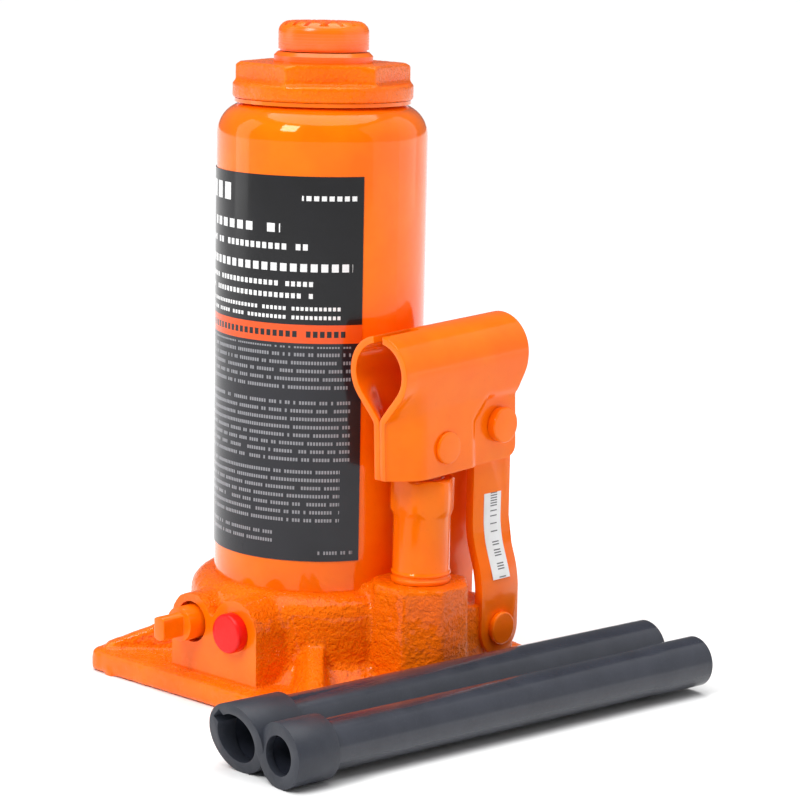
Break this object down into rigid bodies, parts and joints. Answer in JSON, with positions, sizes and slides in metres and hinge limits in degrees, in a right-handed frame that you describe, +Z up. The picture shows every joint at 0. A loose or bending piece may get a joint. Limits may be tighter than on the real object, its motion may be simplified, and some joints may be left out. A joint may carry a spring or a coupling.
{
  "type": "hydraulic bottle jack",
  "caption": "Hydraulic bottle jack: square cast base, upright oil reservoir with ram and extension screw, side pump with a handle socket on link plates, and a loose two-piece handle.",
  "frame": {"origin": "on the ram's axis at the underside of the base", "axes": "+Z up along the ram, +X from the ram to the pump, -Y to the operator's side with the release valve"},
  "size_m": [0.1634, 0.1731, 0.2162],
  "materials": {
    "cast_paint": "glossy orange enamel over a rough sand casting",
    "tube_paint": "smooth glossy orange enamel",
    "sheet_paint": "smooth orange enamel over pressed and turned steel",
    "label_black": "glossy printed film, plain bars in place of text",
    "sticker_white": "satin white film",
    "red_plastic": "soft moulded plastic cap",
    "rubber": "oil resistant rubber",
    "white_plastic": "white plastic ring",
    "steel": "ground steel",
    "copper": "soft copper washer",
    "bronze": "turned bronze",
    "slate_plastic": "satin dark slate moulding",
    "slate_paint": "satin dark slate powder coat"
  },
  "bodies": {
    "jack_body": {"base": "cast_paint", "reservoir": "tube_paint", "reservoir_label": "label_black", "lower_gasket": "rubber", "upper_gasket": "rubber", "filler_plug": "rubber", "pressure_cylinder": "steel", "cylinder_gasket": "copper", "top_nut": "cast_paint", "ram_wiper": "rubber", "pump_cylinder": "sheet_paint", "pump_washer": "copper", "relief_ball": "steel", "relief_cone": "steel", "relief_spring": "steel", "relief_adjuster": "steel", "relief_cap": "red_plastic"},
    "ram": {"ram": "steel", "piston_bush": "bronze", "piston_cup": "rubber", "cup_washer": "steel", "piston_nut": "steel"},
    "stop_ring": {"screw_stop_ring": "steel"},
    "screw": {"extension_screw": "sheet_paint"},
    "plunger": {"pump_plunger": "steel", "plunger_seal": "rubber", "plunger_seal_backup": "white_plastic"},
    "link": {"link_plate_outer": "sheet_paint", "link_plate_inner": "sheet_paint", "link_lower_pin": "sheet_paint", "link_upper_pin": "sheet_paint", "link_label": "sticker_white"},
    "socket": {"handle_socket": "sheet_paint", "plunger_pin": "sheet_paint"},
    "release_ball": {"release_ball": "steel"},
    "release_valve": {"release_valve": "sheet_paint", "release_valve_oring": "rubber"},
    "suction_ball": {"suction_ball": "steel"},
    "delivery_ball": {"delivery_ball": "steel"},
    "handle": {"handle_keeper": "slate_plastic"},
    "large_tube": {"handle_tube_large": "slate_paint"},
    "small_tube": {"handle_tube_small": "slate_paint"}
  },
  "joints": [
    {"name": "ram_lift", "type": "slide", "parent": "jack_body", "child": "ram", "axis": [0, 0, 1], "range_m": [0, 0.125]},
    {"name": "screw_rise", "type": "slide", "parent": "ram", "child": "stop_ring", "axis": [0, 0, 1], "range_m": [0, 0.0645]},
    {"name": "screw_turn", "type": "hinge", "parent": "stop_ring", "child": "screw", "pos_m": [0, 0, 0.2], "axis": [0, 0, 1], "range_deg": [0, 5760]},
    {"name": "link_rock", "type": "hinge", "parent": "jack_body", "child": "link", "pos_m": [0.047, 0.026, 0.022], "axis": [1, 0, 0], "range_deg": [0, 2]},
    {"name": "socket_swing", "type": "hinge", "parent": "link", "child": "socket", "pos_m": [0.047, 0.026, 0.0892], "axis": [-1, 0, 0], "range_deg": [0, 36]},
    {"name": "plunger_stroke", "type": "slide", "parent": "jack_body", "child": "plunger", "axis": [0, 0, 1], "range_m": [0, 0.0165]},
    {"name": "release_ball_lift", "type": "slide", "parent": "jack_body", "child": "release_ball", "axis": [0, -1, 0], "range_m": [0, 0.0016]},
    {"name": "release_turn", "type": "hinge", "parent": "release_ball", "child": "release_valve", "pos_m": [-0.008, -0.049, 0.0246], "axis": [0, -1, 0], "range_deg": [0, 450]},
    {"name": "suction_ball_lift", "type": "slide", "parent": "jack_body", "child": "suction_ball", "axis": [0, 0, 1], "range_m": [0, 0.001]},
    {"name": "delivery_ball_lift", "type": "slide", "parent": "jack_body", "child": "delivery_ball", "axis": [0, 0, 1], "range_m": [0, 0.0005]},
    {"name": "handle_carry", "type": "slide", "parent": "jack_body", "child": "handle", "axis": [0, 0, 1], "range_m": [0, 0.15]},
    {"name": "large_tube_pull", "type": "slide", "parent": "handle", "child": "large_tube", "axis": [0.1288, 0.9917, 0], "range_m": [0, 0.03]},
    {"name": "small_tube_pull", "type": "slide", "parent": "handle", "child": "small_tube", "axis": [0.1288, 0.9917, 0], "range_m": [0, 0.03]}
  ],
  "couplings": [
    {"joint": "screw_rise", "follows": "screw_turn", "m_per_rad": 0.00063662},
    {"joint": "link_rock", "follows": "socket_swing", "ratio": 0.0339},
    {"joint": "plunger_stroke", "follows": "socket_swing", "m_per_rad": 0.02497},
    {"joint": "release_ball_lift", "follows": "release_turn", "m_per_rad": 0.00019894}
  ]
}
